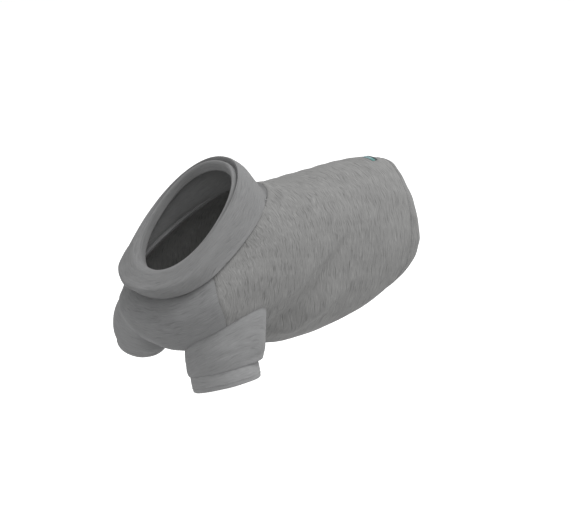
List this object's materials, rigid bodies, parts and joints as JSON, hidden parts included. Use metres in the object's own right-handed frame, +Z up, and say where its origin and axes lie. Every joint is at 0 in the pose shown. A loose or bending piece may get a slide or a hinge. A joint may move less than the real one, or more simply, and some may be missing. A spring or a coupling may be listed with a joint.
{
  "type": "dog hoodie",
  "caption": "Pull-on fleece hoodie for a medium dog: body with chest panel, two short sleeves with cuffs, folded-down hood and a plain tab on the back.",
  "frame": {"origin": "on the inside of the back, in the middle of the neck seam, where the garment hangs on the withers", "axes": "+Z up, -Y the way the dog faces, +X the dog's left side"},
  "size_m": [0.2821, 0.6027, 0.3805],
  "materials": {
    "fleece_body": "matte heather grey fleece",
    "fleece_chest": "matte heather grey fleece, a shade darker",
    "fleece_hood": "matte heather grey fleece",
    "fleece_sleeve": "matte heather grey fleece",
    "cuff_cloth": "matte heather grey, doubled cloth",
    "label": "plain woven tape"
  },
  "bodies": {
    "root": {"back_panel": "fleece_body", "chest_panel": "fleece_chest", "hood": "fleece_hood", "sleeve_left": "fleece_sleeve", "sleeve_right": "fleece_sleeve", "cuff_left": "cuff_cloth", "cuff_right": "cuff_cloth", "label_tab": "label"}
  },
  "joints": []
}
